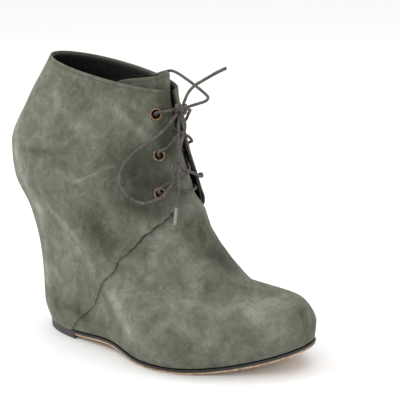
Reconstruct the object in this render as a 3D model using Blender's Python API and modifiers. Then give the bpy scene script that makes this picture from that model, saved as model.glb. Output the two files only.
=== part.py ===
"""Wedge ankle boot for the right foot, empty and standing on its sole.

The toe points along +X, the wearer's left is +Y and up is +Z. Lengths in the tables are
millimetres from the heel's back edge, and place() turns them into metres about the origin,
which is under the middle of the boot, on the floor.

Every shell comes from one surface, skin(turn, rise). Turn runs round a section: 0 at the front,
a quarter turn at the inner side, half a turn at the back. Rise runs from the sole's edge, 0, to
the collar, 1, and a little beyond for the tongue. A section is a tilted plane through a back
point and a front point, and its outline is a superellipse that is fuller at the outer side.
"""
import bpy
import bmesh
import numpy as np
from math import pi
from mathutils import Matrix, Vector

MM = 0.001
SHARP_ANGLE = 35 * pi / 180
ORIGIN = (95.85, -7.42)          # the box's middle, in the tables' millimetres

# Real sizes
GAP = 0.3                      # left between pieces that touch
INSIDE_GAP = 1.2               # round the wedge and the insole, inside the skin
INNER_FACE = -1.9              # inside of the wall, from the skin
QUARTER_FACE = 0.6             # outside of the quarters
VAMP_FACE = -0.5               # outside of the vamp, so the quarters stand over it as a step
THROAT_RISE = 0.51             # where the throat ends and the vamp begins
SOLE_THICK = 3.4
CAP_THICK = 5.4                # rubber piece under the heel
BREAST_X = 46.0                # front of the heel piece
BALL_X = 137.0                 # the sole leaves the floor in front of this
FLAT_X = 112.0                 # and behind this
TOE_SPRING = 14.5
ARCH = 4.0
TOE_X = 211.5
BALL_SWING = 12.0              # how far the ball bends out to the lateral side
INSOLE_THICK = 3.0
TONGUE_THICK = 1.5
TONGUE_FOOT = 0.43             # rise where the tongue starts, under the vamp
TONGUE_PEAK = 0.105            # and how far it stands over the collar in front
LACE_RADIUS = 1.0
EYELET_HOLE = 2.3
EYELET_RIM = 4.2
EYELET_RING = 0.8              # thickness of the ring on the quarter
EYELET_WALL = 0.45             # and of the barrel's wall

# Sections from the sole to the collar, and one above it for the tongue
SECTION_COLUMNS = ("rise", "back_x", "back_z", "front_x", "front_z", "lateral", "medial", "widest",
                   "front_power", "back_power", "waist_lat", "waist_med", "toe_y")
SECTIONS = np.array((
    (0.00, 10.0, 6.0, 211.5, 12.0, 37.6, 35.0, .61, 2.1, 2.5, .10, .20, 9),
    (0.10, 7.0, 22.0, 211.8, 24.0, 44.0, 42.0, .61, 2.1, 2.5, .10, .18, 9),
    (0.20, 6.0, 42.0, 201.5, 41.5, 43.6, 41.0, .60, 2.0, 2.4, .08, .12, 9),
    (0.32, 2.0, 66.0, 179.2, 43.5, 38.6, 36.0, .56, 2.0, 2.3, .04, .05, 5),
    (0.44, -4.5, 88.0, 137.4, 86.0, 36.0, 35.0, .50, 2.0, 2.2, .00, .00, 1),
    (0.58, -17.0, 112.0, 129.2, 113.0, 37.8, 36.0, .45, 2.0, 2.1, .00, .00, 0),
    (0.70, -19.8, 134.0, 121.0, 138.0, 33.8, 33.0, .43, 2.0, 2.1, .00, .00, 0),
    (0.83, -4.8, 165.0, 115.8, 158.0, 30.2, 31.0, .45, 2.0, 2.0, .00, .00, 0),
    (1.00, 16.6, 197.2, 112.2, 176.7, 27.2, 28.3, .47, 2.0, 2.0, .00, .00, 0),
    (1.12, 28.0, 218.0, 112.0, 190.5, 26.6, 27.6, .47, 2.0, 2.0, .00, .00, 0),
))

# Rows of the wall from the sole to the throat, closer where the seam runs flat
LOW_RISES = np.array((0, .05, .10, .15, .20, .25, .29, .325, .355, .38, .40, .42, .445, .475, THROAT_RISE))

# Front edge of the quarters: the seam over the vamp, then the throat, as turns each side
EDGE_COLUMNS = ("rise", "near", "far")
EDGE = np.array((
    (0.000, 2.328, 2.328),
    (0.042, 2.259, 2.259),
    (0.103, 2.148, 2.148),
    (0.161, 2.029, 2.029),
    (0.236, 1.931, 1.931),
    (0.290, 1.833, 1.833),
    (0.372, 1.511, 1.511),
    (0.407, 1.194, 1.194),
    (0.445, .899, .899),
    (0.510, .542, .470),
    (0.533, .480, .410),
    (0.615, .395, .280),
    (0.707, .303, .160),
    (0.840, .220, .080),
    (1.000, .170, .030),
    (1.120, .150, .020),
))

# Height of the foot bed along the boot
BED_COLUMNS = ("x", "z")
BED = np.array((
    (-30, 105), (15, 101), (35, 97), (50, 90), (65, 79), (80, 66), (95, 52), (110, 39),
    (122, 29.5), (132, 23), (142, 18.5), (155, 16), (175, 17), (195, 21), (220, 28),
), float)

# Eyelets, from the bottom of the throat to its top, the same on each side
EYELETS = ((0.619, 0.576), (0.516, 0.691), (0.500, 0.860))


def curve(x, xs, ys):
    """A smooth curve through the points (xs, ys) that never overshoots them."""
    xs, ys = np.asarray(xs, float), np.asarray(ys, float)
    step, slope = np.diff(xs), np.diff(ys) / np.diff(xs)
    before, after = slope[:-1], slope[1:]
    turning = before * after <= 0
    w1, w2 = 2 * step[1:] + step[:-1], step[1:] + 2 * step[:-1]
    mean = (w1 + w2) / (w1 / np.where(turning, 1, before) + w2 / np.where(turning, 1, after))
    m = np.concatenate((slope[:1], np.where(turning, 0, mean), slope[-1:]))
    x = np.asarray(x, float)
    i = np.clip(np.searchsorted(xs, x, side="right") - 1, 0, len(step) - 1)
    s = (x - xs[i]) / step[i]
    return ((2 * s**3 - 3 * s**2 + 1) * ys[i] + (s**3 - 2 * s**2 + s) * step[i] * m[i]
            + (3 * s**2 - 2 * s**3) * ys[i + 1] + (s**3 - s**2) * step[i] * m[i + 1])


def ease(a, b, x):
    """0 below a, 1 above b, smooth between."""
    s = np.clip((x - a) / (b - a), 0, 1)
    return s * s * (3 - 2 * s)


def sole_under(x):
    """Height of the sole's underside: flat at the ball, an arch behind and a spring before."""
    spring = TOE_SPRING * np.clip((x - BALL_X) / (TOE_X - BALL_X), 0, None) ** 2
    u = np.clip((FLAT_X - x) / (FLAT_X - BREAST_X), 0, 1)
    arch = ARCH * ease(0, 0.5, u) * (1 - 0.4 * ease(0.5, 1, u))
    return np.where(x > BALL_X, spring, arch)


def skirt_edge(x):
    """Height of the skin's lower edge, over the heel piece and over the sole."""
    over_sole = sole_under(x) + SOLE_THICK + 3 * GAP
    return over_sole + (CAP_THICK + 2 * GAP - over_sole) * (1 - ease(BREAST_X - 6, BREAST_X + 6, x))


def skin(turn, rise):
    """The boot's surface, in millimetres."""
    turn, rise = np.broadcast_arrays(np.asarray(turn, float), np.asarray(rise, float))
    col = {name: curve(rise, SECTIONS[:, 0], SECTIONS[:, i]) for i, name in enumerate(SECTION_COLUMNS)}
    c, s = np.cos(turn), np.sin(turn)
    power = np.where(c > 0, col["front_power"], col["back_power"])
    full = (np.abs(c) ** power + np.abs(s) ** power) ** (-1 / power)
    span = col["front_x"] - col["back_x"]
    widest = col["back_x"] + col["widest"] * span
    reach = np.where(c > 0, col["front_x"] - widest, col["back_x"] - widest)
    x = widest + reach * np.abs(c) * full
    half = np.where(s > 0, col["medial"], col["lateral"])
    waist = np.where(s > 0, col["waist_med"], col["waist_lat"])
    half = half * (1 - waist * np.exp(-((x - 76) / 34) ** 2))
    along = np.clip((x - col["back_x"]) / span, 0, 1)
    y = half * s * full + col["toe_y"] * ease(0.45, 1, along)
    y = y - BALL_SWING * np.exp(-((x - 128) / 42) ** 2) * (1 - ease(0.10, 0.45, rise))
    z = col["back_z"] + (col["front_z"] - col["back_z"]) * along
    _, back_x, back_z, front_x, front_z = SECTIONS[0, :5]
    chord = back_z + (front_z - back_z) * np.clip((x - back_x) / (front_x - back_x), 0, 1)
    z = z + (1 - ease(0, 0.34, rise)) * (skirt_edge(x) - chord)
    return np.stack((x, y, z), -1)


def outward(turn, rise):
    """Unit normal of the skin."""
    d = 0.02
    across = skin(turn + d, rise) - skin(turn - d, rise)
    up = skin(turn, rise + d) - skin(turn, rise - d)
    n = np.cross(across, up)
    return n / np.linalg.norm(n, axis=-1, keepdims=True)


def lifted(turn, rise, lift):
    """A point off the skin. The lower edge keeps its height."""
    turn, rise = np.asarray(turn, float), np.asarray(rise, float)
    base = skin(turn, rise)
    point = base + outward(turn, rise) * np.asarray(lift, float)[..., None]
    low = ease(0, 0.03, rise)
    point[..., 2] = base[..., 2] + (point[..., 2] - base[..., 2]) * low
    return point


def place(points):
    """Table millimetres to metres about the origin."""
    points = np.asarray(points, float)
    return (points - np.array((ORIGIN[0], ORIGIN[1], 0))) * MM


def clear_scene():
    for item in list(bpy.data.objects):
        bpy.data.objects.remove(item, do_unlink=True)


def collection(name, hidden=False):
    group = bpy.data.collections.new(name)
    bpy.context.scene.collection.children.link(group)
    group.hide_render = hidden
    return group


def material(name, colour, roughness, metallic=0.0):
    made = bpy.data.materials.new(name)
    made.use_nodes = True
    shader = made.node_tree.nodes["Principled BSDF"]
    shader.inputs["Base Color"].default_value = (*colour, 1)
    shader.inputs["Roughness"].default_value = roughness
    shader.inputs["Metallic"].default_value = metallic
    return made


def add_object(name, mesh, group, look=None):
    made = bpy.data.objects.new(name, mesh)
    group.objects.link(made)
    if look:
        mesh.materials.append(look)
        mesh.shade_smooth()
        mesh.set_sharp_from_angle(angle=SHARP_ANGLE)
    return made


def mesh_from(name, points, faces):
    """A mesh of placed points, with doubles welded and faces turned outward."""
    mesh = bpy.data.meshes.new(name)
    mesh.from_pydata([tuple(p) for p in place(points)], [], faces)
    bm = bmesh.new()
    bm.from_mesh(mesh)
    bmesh.ops.remove_doubles(bm, verts=bm.verts, dist=0.00002)
    bmesh.ops.recalc_face_normals(bm, faces=bm.faces)
    bm.to_mesh(mesh)
    bm.free()
    return mesh


def patch(rows, columns, start):
    """Quads of a grid of points numbered row by row from start."""
    return [(start + i * columns + j, start + i * columns + j + 1,
             start + (i + 1) * columns + j + 1, start + (i + 1) * columns + j)
            for i in range(rows - 1) for j in range(columns - 1)]


def rim_faces(outer, inner):
    """Quads between two lines of point numbers."""
    return [(outer[i], outer[i + 1], inner[i + 1], inner[i]) for i in range(len(outer) - 1)]


def upper_mesh():
    """Vamp and quarters as one wall. Their grids share the seam, where the outside steps."""
    low, high = LOW_RISES, np.linspace(THROAT_RISE, 1, 10)[1:]
    rises = np.concatenate((low, high))
    foot = len(low)
    quarter_cols, vamp_cols = 33, 33
    near = 2 * pi - curve(rises, EDGE[:, 0], EDGE[:, 1])
    far = curve(rises, EDGE[:, 0], EDGE[:, 2])
    s = np.linspace(0, 1, quarter_cols)
    q_turn = far[:, None] + (near - far)[:, None] * s
    q_rise = np.repeat(rises[:, None], quarter_cols, 1)
    s = np.linspace(0, 1, vamp_cols)
    v_turn = (near[:foot] - 2 * pi)[:, None] + (far[:foot] - near[:foot] + 2 * pi)[:, None] * s
    v_rise = np.repeat(low[:, None], vamp_cols, 1)
    grids = ((q_turn, q_rise, QUARTER_FACE), (q_turn, q_rise, INNER_FACE),
             (v_turn, v_rise, VAMP_FACE), (v_turn, v_rise, INNER_FACE))
    points, numbers = [], []
    for turn, rise, lift in grids:
        start = sum(len(p) for p in points)
        points.append(lifted(turn, rise, np.full(turn.shape, lift)).reshape(-1, 3))
        numbers.append(start + np.arange(turn.size).reshape(turn.shape))
    q_out, q_in, v_out, v_in = numbers
    faces = []
    for grid in numbers:
        faces += patch(*grid.shape, int(grid[0, 0]))
    for outer, inner in ((q_out, q_in), (v_out, v_in)):
        faces += rim_faces(outer[0], inner[0])                    # lower edge
    faces += rim_faces(q_out[-1], q_in[-1])                       # collar
    faces += rim_faces(v_out[-1], v_in[-1])                       # foot of the throat
    faces += rim_faces(q_out[foot - 1:, 0], q_in[foot - 1:, 0])               # throat, far side
    faces += rim_faces(q_out[foot - 1:, -1], q_in[foot - 1:, -1])             # throat, near side
    faces += rim_faces(q_out[:foot, 0], v_out[:, -1])             # step at the far seam
    faces += rim_faces(q_out[:foot, -1], v_out[:, 0])             # step at the near seam
    # the step's bottom and top ends are small triangles between the two faces and the inside
    for row in (0, foot - 1):
        for q_end, v_end in ((0, -1), (-1, 0)):
            faces.append((q_out[row, q_end], v_out[row, v_end], q_in[row, q_end]))
    faces = [tuple(int(i) for i in f) for f in faces]
    return mesh_from("upper", np.concatenate(points), faces)


def stack_mesh(name, turns, levels, lift):
    """A closed form of sections one above the other, its ends closed by strips across."""
    columns = len(turns)
    points = np.concatenate([lifted(turns, np.full(columns, r), np.full(columns, lift)) for r in levels])
    faces = []
    for i in range(len(levels) - 1):
        a, b = i * columns, (i + 1) * columns
        faces += [(a + j, a + (j + 1) % columns, b + (j + 1) % columns, b + j) for j in range(columns)]
    for start in (0, (len(levels) - 1) * columns):
        for j in range(columns // 2):
            a, b = start + j, start + j + 1
            c, d = start + (columns - j) % columns, start + columns - j - 1
            face = tuple(dict.fromkeys((a, b, d, c)))
            if len(face) > 2:
                faces.append(face)
    return mesh_from(name, points, faces)


def prism_mesh(name, profile, half_width):
    """A profile in the XZ plane, drawn out to both sides."""
    bm = bmesh.new()
    ring = [bm.verts.new(p) for p in place([(x, -half_width, z) for x, z in profile])]
    face = bm.faces.new(ring)
    drawn = bmesh.ops.extrude_face_region(bm, geom=[face])
    moved = [v for v in drawn["geom"] if isinstance(v, bmesh.types.BMVert)]
    bmesh.ops.translate(bm, vec=(0, 2 * half_width * MM, 0), verts=moved)
    bmesh.ops.recalc_face_normals(bm, faces=bm.faces)
    mesh = bpy.data.meshes.new(name)
    bm.to_mesh(mesh)
    bm.free()
    return mesh


def slab_mesh(name, turns, top, bottom, spread, tuck):
    """A flat piece with the skirt's outline between two heights, its lower edge tucked in."""
    edge = lifted(turns, np.zeros(len(turns)), np.full(len(turns), spread))
    foot = lifted(turns, np.zeros(len(turns)), np.full(len(turns), spread - tuck))
    count = len(turns)
    rings = []
    for ring, height in ((edge, top), (edge, lambda x: bottom(x) + tuck), (foot, bottom)):
        ring = ring.copy()
        ring[:, 2] = height(ring[:, 0])
        rings.append(ring)
    faces = []
    for i in range(2):
        a, b = i * count, (i + 1) * count
        faces += [(a + j, a + (j + 1) % count, b + (j + 1) % count, b + j) for j in range(count)]
    for start in (0, 2 * count):
        for j in range((count + 1) // 2):
            a, b, c, d = start + j, start + j + 1, start + count - 1 - j, start + count - 2 - j
            face = tuple(dict.fromkeys((a, b, d, c)))
            if b <= d and len(face) > 2:
                faces.append(face)
    return mesh_from(name, np.concatenate(rings), faces)


def turn_at(x):
    """Turn of the lower edge's point at x, on the inner side."""
    turns = np.linspace(0, pi, 2001)
    xs = skin(turns, 0.0)[:, 0]
    return float(turns[int(np.argmin(np.abs(xs - x)))])


def tongue_mesh():
    """Wide tongue inside the throat, from under the vamp to a peak over the collar."""
    rows, cols = 13, 13
    s = np.linspace(0, 1, rows)[:, None]
    u = np.linspace(-1, 1, cols)[None, :]
    turn = u * (0.72 + 0.40 * ease(0, 1, s))
    top = 1.0 + TONGUE_PEAK * (1 - np.abs(u)) ** 0.8
    rise = TONGUE_FOOT + (top - TONGUE_FOOT) * s
    depth = INNER_FACE - 0.5 - 2.5 * ease(0.46, 0.56, rise)
    outer = lifted(turn, rise, depth)
    inner = lifted(turn, rise, depth - TONGUE_THICK)
    points = np.concatenate((outer.reshape(-1, 3), inner.reshape(-1, 3)))
    out = np.arange(rows * cols).reshape(rows, cols)
    inn = out + rows * cols
    faces = patch(rows, cols, 0) + patch(rows, cols, rows * cols)
    for a, b in ((out[0], inn[0]), (out[-1], inn[-1]), (out[:, 0], inn[:, 0]), (out[:, -1], inn[:, -1])):
        faces += rim_faces(a, b)
    return mesh_from("tongue", points, [tuple(int(i) for i in f) for f in faces])


def boolean(target, cutter, operation):
    cut = target.modifiers.new(cutter.name, "BOOLEAN")
    cut.operation = operation
    cut.solver = "EXACT"
    cut.object = cutter


def guide(name, mesh, group):
    made = add_object(name, mesh, group)
    made.hide_render = True
    made.display_type = "WIRE"
    return made


def eyelet_frame(side, row):
    """Place of an eyelet on the quarter's outside, with its axis along the normal."""
    turn, rise = EYELETS[row]
    point = lifted(side * turn, rise, QUARTER_FACE)
    normal = Vector(outward(np.array(side * turn), np.array(rise)))
    return Vector(place(point)), normal, normal.to_track_quat("Z", "Y")


def eyelet_mesh():
    """Ring and barrel as one turned profile, through the wall."""
    barrel_end = INNER_FACE - QUARTER_FACE - 0.4
    barrel = EYELET_HOLE + EYELET_WALL
    profile = ((EYELET_RIM - 0.5, GAP + EYELET_RING), (EYELET_RIM, GAP), (barrel, GAP),
               (barrel, barrel_end), (EYELET_HOLE, barrel_end), (EYELET_HOLE, GAP + EYELET_RING))
    mesh = bpy.data.meshes.new("eyelet")
    mesh.from_pydata([(r * MM, 0, h * MM) for r, h in profile],
                     [(i, (i + 1) % len(profile)) for i in range(len(profile))], [])
    return mesh


def smooth_route(points, spacing):
    """Points along a rounded route through the given ones, evenly apart."""
    points = np.asarray(points, float)
    ends = np.concatenate(([2 * points[0] - points[1]], points, [2 * points[-1] - points[-2]]))
    fine = []
    for i in range(1, len(ends) - 2):
        p0, p1, p2, p3 = ends[i - 1:i + 3]
        for s in np.linspace(0, 1, 24, endpoint=False):
            fine.append(0.5 * (2 * p1 + (p2 - p0) * s + (2 * p0 - 5 * p1 + 4 * p2 - p3) * s**2
                               + (3 * p1 - p0 - 3 * p2 + p3) * s**3))
    fine = np.array(fine + [points[-1]])
    run = np.concatenate(([0], np.cumsum(np.linalg.norm(np.diff(fine, axis=0), axis=1))))
    count = max(3, int(round(run[-1] / spacing)) + 1)
    even = np.linspace(0, run[-1], count)
    return np.stack([np.interp(even, run, fine[:, k]) for k in range(3)], -1)


def cord_object(name, route, group, look, spacing=5.6):
    """A round cord along a route."""
    line = bpy.data.curves.new(name, "CURVE")
    line.dimensions = "3D"
    line.bevel_depth = LACE_RADIUS * MM
    line.bevel_resolution = 2
    line.use_fill_caps = True
    points = place(smooth_route(route, spacing))
    spline = line.splines.new("POLY")
    spline.points.add(len(points) - 1)
    for slot, point in zip(spline.points, points):
        slot.co = (*point, 1)
    line.materials.append(look)
    made = bpy.data.objects.new(name, line)
    group.objects.link(made)
    return made


def as_mesh(item):
    """The same piece as a closed mesh, with its caps welded."""
    bpy.context.view_layer.update()
    mesh = bpy.data.meshes.new_from_object(item.evaluated_get(bpy.context.evaluated_depsgraph_get()))
    bm = bmesh.new()
    bm.from_mesh(mesh)
    bmesh.ops.remove_doubles(bm, verts=bm.verts, dist=0.00001)
    bmesh.ops.recalc_face_normals(bm, faces=bm.faces)
    bm.to_mesh(mesh)
    bm.free()
    made = bpy.data.objects.new(item.name, mesh)
    made.matrix_world = item.matrix_world
    group = item.users_collection[0]
    group.objects.link(made)
    name = item.name
    bpy.data.objects.remove(item, do_unlink=True)
    made.name = name
    return made


def edge_turns(rise):
    """Turns of the throat's near and far edge, the near one negative."""
    return -float(curve(rise, EDGE[:, 0], EDGE[:, 1])), float(curve(rise, EDGE[:, 0], EDGE[:, 2]))


OVER = QUARTER_FACE + EYELET_RING + 2 * GAP + LACE_RADIUS      # a strand over an eyelet's ring
EASED = QUARTER_FACE + GAP + LACE_RADIUS + 0.2                 # a strand over the quarter's edge
UNDER = INNER_FACE - GAP - LACE_RADIUS - 0.2                   # a strand under a quarter


def strand(side, row):
    """From an eyelet out over its own edge, across, and under the other edge to the next row."""
    (turn_a, rise_a), (turn_b, rise_b) = EYELETS[row], EYELETS[row + 1]
    middle = (rise_a + rise_b) / 2
    near, far = edge_turns(middle)
    own, other = (near, far) if side < 0 else (far, near)
    centre = (near + far) / 2
    stops = ((side * turn_a, rise_a + 0.012, OVER + 0.3), (own + side * 0.12, rise_a + 0.030, EASED + 1.0),
             (own + side * 0.01, middle - 0.030, EASED), (centre, middle, -0.7),
             (other + side * 0.03, middle + 0.022, UNDER), (other - side * 0.12, middle + 0.036, UNDER))
    return [lifted(t, r, h) for t, r, h in stops]


def lace_bar_route():
    """The lowest bar, under both quarters and over the tongue."""
    rise = EYELETS[0][1]
    return [lifted(t, rise, UNDER) for t in (-0.50, -0.40, -0.2, 0, 0.2, 0.35, 0.50)]


def lace_tie_route():
    """From one top eyelet over both edges to the other, behind the knot."""
    turn, rise = EYELETS[2]
    return [lifted(t, rise + dr, h) for t, dr, h in
            ((-turn, .008, OVER + .5), (-0.33, .016, EASED + 1.4), (-0.2, .022, EASED + .3), (-0.07, .026, EASED),
             (0.06, .026, EASED + .2), (0.2, .022, EASED + .7), (0.33, .016, EASED + 1.4), (turn, .008, OVER + .5))]


KNOT = (120.4, -4.4, 165.6)
KNOT_SIZE = (7.0, 10.0, 9.0)
LOOP_NEAR = ((116.8, -14.0, 156.2), (110.8, -20.0, 148.4), (101.6, -26.4, 141.0),
             (95.2, -31.0, 133.5), (92.4, -34.4, 126.2), (93.0, -36.2, 118.9), (95.9, -36.2, 113.9),
             (101.2, -34.4, 108.9), (108.4, -31.4, 107.0), (115.2, -27.8, 109.2), (119.8, -24.6, 112.9),
             (123.4, -20.6, 119.8), (124.0, -16.4, 131.0), (122.4, -10.8, 146.0), (120.6, -8.0, 156.2))
LOOP_FAR_OUT = ((128.6, 4.6, 168.6), (131.4, 8.4, 169.8), (131.8, 11.0, 171.8),
                (128.4, 12.8, 174.0), (120.1, 16.0, 177.7), (109.5, 20.6, 181.6), (96.7, 27.0, 184.9))
LOOP_FAR_BACK = ((1.05, 1.02, 5.0), (1.32, 0.955, 4.0), (1.45, 0.88, 3.2), (1.38, 0.80, 3.2), (1.1, 0.745, 3.2),
                 (0.8, 0.745, 3.2), (0.55, 0.79, 3.6), (0.36, 0.835, 4.8), (0.20, 0.860, 6.4))
END_UP = ((126.2, -5.0, 176.4), (131.4, -5.6, 181.6), (137.2, -6.2, 184.9),
          (142.6, -6.4, 187.9), (148.0, -6.4, 190.9), (154.3, -6.4, 193.9))
END_DOWN = ((127.0, -10.4, 155.0), (126.4, -15.2, 142.6), (127.2, -18.6, 128.0),
            (128.0, -21.0, 113.6), (127.6, -22.6, 106.6), (127.2, -24.4, 93.9))


def from_knot(target):
    """Point just off the knot's surface, on the way to target."""
    centre, radii = np.array(KNOT), np.array(KNOT_SIZE) / 2
    way = np.asarray(target, float) - centre
    surface = way / np.linalg.norm(way / radii)
    return centre + surface + way / np.linalg.norm(way) * GAP


def build():
    clear_scene()
    parts = collection("wedge_ankle_boot")
    cutters = collection("cutters", hidden=True)
    suede = material("suede", (0.135, 0.14, 0.118), 0.95)
    lining = material("lining", (0.02, 0.019, 0.018), 0.85)
    cork = material("wedge_block", (0.42, 0.30, 0.19), 0.9)
    leather = material("sole_leather", (0.36, 0.24, 0.15), 0.6)
    rubber = material("heel_rubber", (0.035, 0.034, 0.034), 0.7)
    brass = material("eyelet_brass", (0.32, 0.20, 0.12), 0.35, 1.0)
    lace = material("lace_cord", (0.055, 0.048, 0.045), 0.8)

    upper = add_object("upper", upper_mesh(), parts, suede)
    add_object("tongue", tongue_mesh(), parts, suede)

    # the inside of the skin, as one closed form, shapes the wedge and the insole
    turns = np.linspace(0, 2 * pi, 50, endpoint=False)
    levels = np.concatenate((LOW_RISES, (0.555, 0.60)))
    bed_x = np.linspace(BED[0, 0], BED[-1, 0], 36)
    bed_z = curve(bed_x, BED[:, 0], BED[:, 1])
    below = [(bed_x[0], -20), (bed_x[-1], -20)] + [(x, z) for x, z in zip(bed_x[::-1], bed_z[::-1])]
    bed_cut = guide("bed_cut", prism_mesh("bed_cut", below, 80), cutters)
    low, high = bed_z + GAP, bed_z + GAP + INSOLE_THICK
    layer = [(x, z) for x, z in zip(bed_x, low)] + [(x, z) for x, z in zip(bed_x[::-1], high[::-1])]
    layer_cut = guide("layer_cut", prism_mesh("layer_cut", layer, 80), cutters)
    wedge = add_object("wedge", stack_mesh("wedge", turns, levels, INNER_FACE - INSIDE_GAP), parts, cork)
    boolean(wedge, bed_cut, "INTERSECT")
    insole = add_object("insole", stack_mesh("insole", turns, levels, INNER_FACE - INSIDE_GAP), parts, lining)
    boolean(insole, layer_cut, "INTERSECT")

    # the sole in front of the breast, and the heel piece behind it
    breast = turn_at(BREAST_X + GAP)
    sole_turns = np.linspace(-breast, breast, 59)
    add_object("outsole", slab_mesh("outsole", sole_turns, lambda x: sole_under(x) + SOLE_THICK,
                                    sole_under, 0.3, 0.5), parts, leather)
    heel = turn_at(BREAST_X)
    heel_turns = np.linspace(heel, 2 * pi - heel, 27)
    add_object("heel_cap", slab_mesh("heel_cap", heel_turns, lambda x: np.full_like(x, CAP_THICK),
                                     np.zeros_like, 0.4, 0.5), parts, rubber)

    # eyelets and the holes for them
    ring = eyelet_mesh()
    for side, word in ((-1, "near"), (1, "far")):
        for row in range(3):
            spot, normal, spin = eyelet_frame(side, row)
            bpy.ops.mesh.primitive_cylinder_add(vertices=16, radius=(EYELET_HOLE + EYELET_WALL + GAP) * MM,
                                                depth=12 * MM, location=spot, rotation=spin.to_euler())
            hole = bpy.context.object
            hole.name = f"hole_{word}_{row + 1}"
            for group in list(hole.users_collection):
                group.objects.unlink(hole)
            cutters.objects.link(hole)
            hole.hide_render = True
            hole.display_type = "WIRE"
            boolean(upper, hole, "DIFFERENCE")
            eyelet = add_object(f"eyelet_{word}_{row + 1}", ring.copy(), parts)
            eyelet.data.materials.append(brass)
            eyelet.location = spot
            eyelet.rotation_euler = spin.to_euler()
            screw = eyelet.modifiers.new("turn", "SCREW")
            screw.axis = "Z"
            screw.steps = screw.render_steps = 14
            screw.use_merge_vertices = True
            screw.merge_threshold = 0.00001

    # the lace: bar, crossings and tie are held by the boot, knot, loops and ends lie free
    cord_object("lace_bar", lace_bar_route(), parts, lace, 4.0)
    cord_object("lace_tie", lace_tie_route(), parts, lace, 4.0)
    for row in range(2):
        first = as_mesh(cord_object(f"lace_cross_{row + 1}", strand(-1, row), parts, lace, 3.5))
        second = as_mesh(cord_object(f"strand_{row + 1}", strand(1, row), cutters, lace, 3.5))
        second.hide_render = True
        second.display_type = "WIRE"
        boolean(first, second, "UNION")
    bpy.ops.mesh.primitive_uv_sphere_add(segments=14, ring_count=8, radius=0.5, location=place(KNOT))
    knot = bpy.context.object
    knot.name = "lace_knot"
    knot.data.transform(Matrix.Diagonal((*[size * MM for size in KNOT_SIZE], 1)))
    for group in list(knot.users_collection):
        group.objects.unlink(knot)
    parts.objects.link(knot)
    knot.data.materials.append(lace)
    knot.data.shade_smooth()
    far_loop = [*LOOP_FAR_OUT, *[lifted(t, r, h) for t, r, h in LOOP_FAR_BACK]]
    for name, route, returns in (("lace_loop_near", LOOP_NEAR, True), ("lace_loop_far", far_loop, True),
                                 ("lace_end_up", END_UP, False), ("lace_end_down", END_DOWN, False)):
        last = [from_knot(route[-1])] if returns else []
        cord_object(name, [from_knot(route[0]), *route, *last], parts, lace)


build()
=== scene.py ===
"""Grey-green suede wedge ankle boot for the right foot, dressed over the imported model.

The toe points along +X, the wearer's left is +Y and up is +Z. Tables are in millimetres from
the heel's back edge; place() turns them into metres in the row frame.
"""
import bpy
import numpy as np
from math import pi, radians
from mathutils import Matrix, Vector


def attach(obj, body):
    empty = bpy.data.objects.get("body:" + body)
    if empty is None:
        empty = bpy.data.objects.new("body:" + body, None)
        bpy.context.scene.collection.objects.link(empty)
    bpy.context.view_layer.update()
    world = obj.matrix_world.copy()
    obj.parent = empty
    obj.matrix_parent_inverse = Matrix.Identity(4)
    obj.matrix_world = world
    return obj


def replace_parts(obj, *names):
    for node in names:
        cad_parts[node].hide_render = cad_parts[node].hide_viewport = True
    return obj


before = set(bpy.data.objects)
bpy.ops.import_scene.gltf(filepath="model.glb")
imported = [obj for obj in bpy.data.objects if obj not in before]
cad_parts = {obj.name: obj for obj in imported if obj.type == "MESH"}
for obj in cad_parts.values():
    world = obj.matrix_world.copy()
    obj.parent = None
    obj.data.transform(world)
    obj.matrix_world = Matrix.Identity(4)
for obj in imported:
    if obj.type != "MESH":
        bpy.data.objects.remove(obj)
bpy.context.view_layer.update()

MM = 0.001
ORIGIN = (95.85, -7.42)
SOLE_THICK = 3.4
CAP_THICK = 5.4
BREAST_X = 46.0                # front of the heel piece
BALL_X = 137.0                 # the sole leaves the floor in front of this
FLAT_X = 112.0                 # and behind this
TOE_SPRING = 14.5
ARCH = 4.0
TOE_X = 211.5
BALL_SWING = 12.0
GAP = 0.3
TONGUE_FOOT = 0.43
TONGUE_PEAK = 0.105
TONGUE_DEPTH = -4.9            # outside of the tongue, from the skin
VAMP_TOP = 0.50                # rise where the vamp becomes the tongue
VAMP_SHARE = 0.62              # share of the grid's rows below that
STITCH_INSET = 2.0             # stitches stand this far from an edge
STITCH_PITCH = 1.8
HOLE_SIDES = 24
VAMP_GRID = (190, 170)         # rows and columns of the vamp with its tongue
QUARTER_GRID = (150, 230)
LINING_GRID = (60, 120)
SEAM_INSET = 1.5               # the seam's stitches stand this far behind its edge
HELD_STEP = 0.7                # spacing of the points along a held lace
FREE_STEP = 0.8                # and along a free one
LACE_RADIUS = 1.0
EYELET_HOLE = 2.3
INNER_FACE = -1.9              # inside of the wall, from the skin
QUARTER_FACE = 0.6             # outside of the quarters
VAMP_FACE = -0.5               # outside of the vamp

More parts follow.
